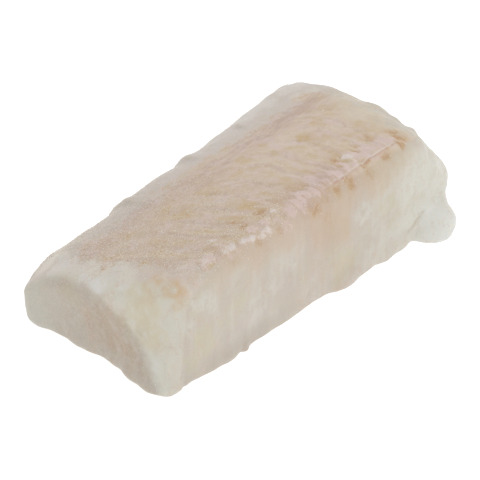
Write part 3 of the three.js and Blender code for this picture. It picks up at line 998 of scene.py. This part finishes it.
def side_masks(at):
    """Masks of the sides, of what hangs down them from the line and of the flap."""
    x, y, z = at.x, at.y, at.z
    back_side = at.back_side()
    drip = ramp(x, -7, -2) * (1 - ramp(x, 10, 14))
    lowest = at.across + 1.2 * lumps(x / 1.6, 0, z / 9, 6.6) + 2.0 * at.patchy + 9 * drip
    hanging = ramp(lowest, -16, -6) * ramp(-at.across, 0.5, 2)
    to_head = ramp(x + 2 * at.patchy, 27, 37)
    cream = np.maximum(ramp(x, 18, 26) * (1 - ramp(x, 33, 44)), 0.7 * ramp(x, 1, 6) * (1 - ramp(x, 11, 16)))
    # Painted shade at the foot of the back side, darker towards the floor and more so towards the tail.
    foot = 0.8 * (1 - ramp(z + 1.5 * at.patchy, 2, 10)) * (1 - 0.75 * ramp(x, -28, -4))
    return {
        "side_head": ramp(x + 4 * at.patchy, 14, 46) * (1 - at.top()),
        "flap_white": ramp(x, 40, 46) * (1 - ramp(z + 0.3 * (x - 50), 8, 13)) * ramp(-y, 20, 25),
        "crease": bump(at.from_chain(FLAP_CREASE), 0.9),
        "side_green": at.patches(GREEN_ON_SIDE, x, z) * back_side,
        "side_mauve": at.patches(MAUVE_ON_SIDE, x, z) * back_side,
        "side_white": at.patches(WHITE_ON_SIDE, x, z) * back_side,
        "peach": hanging * ramp(x + 3 * at.patchy, -50, -32) * (1 - 0.85 * to_head),
        "cream": hanging * cream,
        "foot": foot * back_side,
    }


def cut_masks(at):
    """Masks of the tail cut, of its hollow and of the stains on its upper edge."""
    y, z = at.y, at.z
    cut = at.tail_cut()
    from_rim = at.from_hollow + 1.2 * ramp(z, 17, 21) - 2.4 * (1 - ramp(z, 13, 19)) + 0.8 * at.patchy
    hollow = 1 - ramp(from_rim + 0.4 * at.ragged, -2.5, 1.5)
    hollow *= 1 - ramp(y, -2, 4) * ramp(z + at.patchy + 0.25 * np.maximum(y - 14, 0), 20.5, 24.5)
    stain = at.smears(STAINS, y + 0.3 * at.patchy + 0.6 * at.ragged, z - 0.7 * at.ragged)
    return {
        "cut": cut,
        "cut_white": at.patches(WHITE_ON_CUT, y, z) * cut,
        "cut_green": at.patches(GREEN_ON_CUT, y, z) * cut,
        "cut_mint": at.patches(MINT_ON_CUT, y, z) * cut,
        "hollow": hollow,
        # Painted light: the hollow lighter towards the thin side, where it faces the light.
        "hollow_lit": ramp(y + 2 * at.patchy, 16, 26),
        # The stripe: brown flesh and painted shade of the hollow's steep side.
        "stripe_and_shade": at.smears(STRIPE_AND_SHADE_ON_CUT, y, z),
        "olive": at.smears(OLIVE_ON_CUT, y, z),
        "stain": 1.2 * stain * ramp(-at.x, 53, 55),
    }


def line_masks(at):
    """Masks of what lies along the lateral line."""
    x, from_line = at.x, at.from_line
    amber = at.spots(AMBER_SPOTS)
    threaded = ramp(x, THREAD_START - 4, THREAD_START + 4) * (1 - ramp(x, THREAD_END - 2, THREAD_END + 1))
    tufted = ramp(x, THREAD_START - 20, THREAD_START - 4) * (1 - ramp(x, THREAD_END - 1, THREAD_END + 3))
    tufts = 0.75 * tufted * np.clip(1.15 - np.abs(from_line - 3) / 6.5, 0, 1) * ramp(at.across, -1.5, 0)
    crumbling = ramp(x, FRAGMENTS_START, FRAGMENTS_START + 8)
    crumbling *= 1 - ramp(x, FRAGMENTS_END, FRAGMENTS_END + 5)
    crumbs = 0.3 * crumbling * bump(at.across - 0.5 - at.patchy, 1.5) * ramp(at.ragged, -0.2, 0.6)
    return {
        "amber": amber,
        "tufts": tufts * (1 - amber),
        "lobes": at.spots(LOBES, 4) * (1 - 0.5 * amber),
        "fragments": np.maximum(at.spots(FRAGMENTS, 4), crumbs),
        "by_line": ramp(x, -14, -4) * (1 - ramp(x, 13, 21)) * bump(from_line - 2.5, 5),
        "thread": threaded,
        "thread_white": threaded * (0.25 + 0.6 * bump(x - 27, 12)),
    }


def flesh_masks(at):
    """Where each colour of the flesh shows, from nought to one."""
    masks = {**top_masks(at), **edge_masks(at), **side_masks(at), **cut_masks(at), **line_masks(at)}
    grainy_top = masks["tan"] * (1 - ramp(at.x, -40, 10))
    masks["grainy"] = 0.07 + 0.1 * grainy_top + 0.1 * masks["hollow"] * masks["cut"]
    return masks


class CodLoinShape(bpy.types.PropertyGroup):
    """Sizes of the loin's surface and of the frost on it."""

    mesh_step: bpy.props.FloatProperty(
        name="Mesh Step",
        description="Size of the faces of the flesh",
        default=0.56 * MM,
        min=0.3 * MM,
        precision=5,
        subtype="DISTANCE",
        unit="LENGTH",
    )
    smoothing: bpy.props.IntProperty(
        name="Smoothing",
        description="How often the flesh is smoothed before its relief is raised",
        default=20,
        min=0,
    )
    edge_smoothing: bpy.props.IntProperty(
        name="Edge Smoothing",
        description="How often the hollow's rim and the flap's seams are smoothed further",
        default=60,
        min=0,
    )
    grains: bpy.props.IntProperty(
        name="Frost Grains",
        description="How many grains of frost lie on the loin",
        default=5200,
        min=0,
    )
    grain_size: bpy.props.FloatProperty(
        name="Grain Size",
        description="Usual width of a grain of frost",
        default=0.29 * MM,
        min=0.05 * MM,
        precision=5,
        subtype="DISTANCE",
        unit="LENGTH",
    )
    frost_colour: bpy.props.FloatVectorProperty(
        name="Frost Colour",
        description="Colour of the grains of frost",
        default=linear((223, 213, 199))[:3],
        subtype="COLOR",
        min=0,
        max=1,
    )
    seed: bpy.props.IntProperty(
        name="Seed",
        description="Start of the random draw that places the frost",
        default=5,
    )


class CodLoinStage(bpy.types.PropertyGroup):
    """The camera's place and the light."""

    azimuth: bpy.props.FloatProperty(
        name="Azimuth",
        description="Turn of the camera round the loin, nought looking along +Y",
        default=math.radians(-50),
        subtype="ANGLE",
        unit="ROTATION",
    )
    elevation: bpy.props.FloatProperty(
        name="Elevation",
        description="Height of the camera above the horizon",
        default=math.radians(32),
        subtype="ANGLE",
        unit="ROTATION",
    )
    distance: bpy.props.FloatProperty(
        name="Distance",
        description="From the camera to what it looks at",
        default=650 * MM,
        subtype="DISTANCE",
        unit="LENGTH",
    )
    field: bpy.props.FloatProperty(
        name="Field",
        description="Width of what the camera sees at that distance",
        default=134.4 * MM,
        subtype="DISTANCE",
        unit="LENGTH",
    )
    aim: bpy.props.FloatVectorProperty(
        name="Aim",
        description="The point that the camera looks at",
        default=(-8.87 * MM, -3.23 * MM, 16 * MM),
        precision=5,
        subtype="XYZ",
        unit="LENGTH",
    )
    daylight: bpy.props.FloatProperty(
        name="Daylight",
        description="Strength of the white light from all round",
        default=0.9,
        min=0,
    )
    softbox: bpy.props.FloatProperty(
        name="Softbox",
        description="Power of the large soft light over the loin, in watts",
        default=0.8,
        min=0,
    )
    floor_glow: bpy.props.FloatProperty(
        name="Floor Glow",
        description="Light that the white floor gives off, as a light table does",
        default=0.9,
        min=0,
    )


def remesh(flesh, shape):
    """Merges the loose faces of the solid's copy and gives it an even mesh, fine enough for the relief."""
    select_only(flesh)
    bpy.ops.object.mode_set(mode="EDIT")
    bpy.ops.mesh.select_all(action="SELECT")
    bpy.ops.mesh.remove_doubles(threshold=0.01 * MM)
    bpy.ops.object.mode_set(mode="OBJECT")
    apply_modifier(flesh, "REMESH", mode="VOXEL", voxel_size=shape.mesh_step)
    apply_modifier(flesh, "SMOOTH", factor=0.5, iterations=shape.smoothing)


def soften_edges(flesh, iterations):
    """Smooths only the hollow's rim and the flap's seams."""
    weights = softened(FleshPlaces(*read_places(flesh.data)))
    group = flesh.vertex_groups.new(name="soft_edges")
    for index in np.nonzero(weights > 0.01)[0].tolist():
        group.add([index], weights[index], "REPLACE")
    apply_modifier(flesh, "SMOOTH", factor=0.5, iterations=iterations, vertex_group=group.name)
    flesh.vertex_groups.clear()


def raise_relief(mesh):
    """Raises the relief, and stores the masks that go with it for the material."""
    places, normals = read_places(mesh)
    at = FleshPlaces(places, normals)
    places += normals * flesh_relief(at)[:, None]
    places[:, 2] = np.maximum(places[:, 2], 0)
    write_places(mesh, places)
    for name, values in flesh_masks(at).items():
        store(mesh, name, values)
    store_places(mesh, "bands", [at.along_band, at.across, at.z])


class CODLOIN_OT_flesh(bpy.types.Operator):
    """Model the loin's flesh over its solid and give it its colours"""

    bl_idname = "codloin.flesh"
    bl_label = "Flesh"

    def execute(self, context):
        shape = context.scene.cod_loin_shape
        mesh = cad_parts["cod_loin"].data.copy()
        mesh.name = "loin_flesh"
        flesh = bpy.data.objects.new("loin_flesh", mesh)
        context.scene.collection.objects.link(flesh)
        remesh(flesh, shape)
        soften_edges(flesh, shape.edge_smoothing)
        raise_relief(flesh.data)
        flesh.data.materials.clear()
        flesh.data.materials.append(flesh_material(streaks_group()))
        bpy.ops.object.shade_smooth()
        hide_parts("cod_loin")
        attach(flesh, "root")
        return {"FINISHED"}


def frost_material(colour):
    material = bpy.data.materials.new("frost")
    material.use_nodes = True
    shader = material.node_tree.nodes["Principled BSDF"]
    shader.inputs["Base Color"].default_value = (*colour, 1)
    shader.inputs["Roughness"].default_value = 0.45
    return material


def frost_places(mesh, count, draw):
    """Random places on the flesh, in millimetres, closer together where the frost is thicker."""
    mesh.calc_loop_triangles()
    corners = np.array([t.vertices for t in mesh.loop_triangles])
    places, normals = read_places(mesh)
    thickness = FleshPlaces(places, normals).frosted()
    side_a = places[corners[:, 1]] - places[corners[:, 0]]
    side_b = places[corners[:, 2]] - places[corners[:, 0]]
    areas = np.linalg.norm(np.cross(side_a, side_b), axis=1) / 2
    chance = areas * thickness[corners].mean(axis=1)
    chosen = draw.choice(len(corners), size=count, p=chance / chance.sum())
    u, v = draw.random((2, count))
    over = u + v > 1
    u[over], v[over] = 1 - u[over], 1 - v[over]
    return places[corners[chosen, 0]] + u[:, None] * side_a[chosen] + v[:, None] * side_b[chosen]


class CODLOIN_OT_frost(bpy.types.Operator):
    """Scatter grains of frost over the flesh, thickest on the tail third of its top"""

    bl_idname = "codloin.frost"
    bl_label = "Frost"

    def execute(self, context):
        shape = context.scene.cod_loin_shape
        draw = np.random.default_rng(shape.seed)
        centres = frost_places(bpy.data.objects["loin_flesh"].data, shape.grains, draw)

        # A ball one unit wide is copied to each place, a little uneven and at its own size.
        bpy.ops.object.select_all(action="DESELECT")
        bpy.ops.mesh.primitive_ico_sphere_add(subdivisions=1, radius=0.5)
        grain = bpy.context.object
        ball = read_places(grain.data)[0] * MM
        faces = np.array([p.vertices[:] for p in grain.data.polygons])
        widths = shape.grain_size / MM * np.exp(draw.normal(0, 0.3, (shape.grains, 1, 3)))
        uneven = draw.uniform(0.8, 1.2, (shape.grains, len(ball), 1))
        all_places = centres[:, None, :] + ball[None] * widths * uneven
        all_faces = faces[None] + len(ball) * np.arange(shape.grains)[:, None, None]
        corners = (all_places.reshape(-1, 3) * MM).tolist()
        grain.data.clear_geometry()
        grain.data.from_pydata(corners, [], all_faces.reshape(-1, 3).tolist())
        grain.name = grain.data.name = "frost_grains"
        grain.data.materials.append(frost_material(shape.frost_colour))
        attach(grain, "root")
        return {"FINISHED"}


def floor_material(glow):
    """White that gives off light, so that the floor shows white up to the loin."""
    material = bpy.data.materials.new("floor_white")
    material.use_nodes = True
    shader = material.node_tree.nodes["Principled BSDF"]
    shader.inputs["Base Color"].default_value = (0.25, 0.25, 0.25, 1)
    shader.inputs["Roughness"].default_value = 0.9
    shader.inputs["Specular IOR Level"].default_value = 0.1
    shader.inputs["Emission Color"].default_value = (1, 1, 1, 1)
    shader.inputs["Emission Strength"].default_value = glow
    return material


def white_room(daylight):
    """White light from all round."""
    world = bpy.data.worlds.new("white_room")
    world.use_nodes = True
    background = world.node_tree.nodes["Background"]
    background.inputs["Color"].default_value = (1, 1, 1, 1)
    background.inputs["Strength"].default_value = daylight
    return world


def place_and_turn(item, place, facing):
    """Puts a light or camera at its place and turns it to face that way."""
    item.location = place
    item.rotation_mode = "QUATERNION"
    item.rotation_quaternion = facing.to_track_quat("-Z", "Y")
    bpy.context.scene.collection.objects.link(item)


class CODLOIN_OT_stage(bpy.types.Operator):
    """Lay the white floor, light it and set the camera"""

    bl_idname = "codloin.stage"
    bl_label = "Stage"

    def execute(self, context):
        stage = context.scene.cod_loin_stage
        bpy.ops.object.select_all(action="DESELECT")
        bpy.ops.mesh.primitive_plane_add(size=FLOOR_SIZE, location=(0, 0, 0))
        floor = bpy.context.object
        floor.name = "floor"
        floor.data.materials.append(floor_material(stage.floor_glow))

        context.scene.world = white_room(stage.daylight)
        context.scene.view_settings.view_transform = "Standard"

        middle = Vector(stage.aim)
        light_data = bpy.data.lights.new("softbox", "AREA")
        light_data.energy = stage.softbox
        light_data.size = SOFTBOX_SIZE
        to_light = Vector(SOFTBOX_FROM_LOIN)
        place_and_turn(bpy.data.objects.new("softbox", light_data), middle + to_light, -to_light)

        flat = math.cos(stage.elevation)
        sideways = math.sin(stage.azimuth) * flat
        backwards = -math.cos(stage.azimuth) * flat
        to_camera = Vector((sideways, backwards, math.sin(stage.elevation)))
        camera_data = bpy.data.cameras.new("camera")
        camera_data.sensor_width = SENSOR_WIDTH
        camera_data.lens = SENSOR_WIDTH * stage.distance / stage.field
        camera = bpy.data.objects.new("camera", camera_data)
        place_and_turn(camera, middle + to_camera * stage.distance, -to_camera)
        context.scene.camera = camera
        return {"FINISHED"}


class CODLOIN_PT_panel(bpy.types.Panel):
    """Lists what builds the loin and its sizes"""

    bl_idname = "CODLOIN_PT_panel"
    bl_label = "Cod Loin"
    bl_space_type = "VIEW_3D"
    bl_region_type = "UI"
    bl_category = "Cod Loin"

    def draw(self, context):
        layout = self.layout
        for settings in (context.scene.cod_loin_shape, context.scene.cod_loin_stage):
            box = layout.box()
            for name in settings.__annotations__:
                box.prop(settings, name)
        for operator in OPERATORS:
            layout.operator(operator.bl_idname)


OPERATORS = (CODLOIN_OT_flesh, CODLOIN_OT_frost, CODLOIN_OT_stage)
CLASSES = (CodLoinShape, CodLoinStage, *OPERATORS, CODLOIN_PT_panel)


def register():
    for each in CLASSES:
        bpy.utils.register_class(each)
    bpy.types.Scene.cod_loin_shape = bpy.props.PointerProperty(type=CodLoinShape)
    bpy.types.Scene.cod_loin_stage = bpy.props.PointerProperty(type=CodLoinStage)


def unregister():
    del bpy.types.Scene.cod_loin_stage
    del bpy.types.Scene.cod_loin_shape
    for each in reversed(CLASSES):
        bpy.utils.unregister_class(each)


def main():
    register()
    bpy.ops.codloin.flesh()
    bpy.ops.codloin.frost()
    bpy.ops.codloin.stage()


if __name__ == "__main__":
    main()
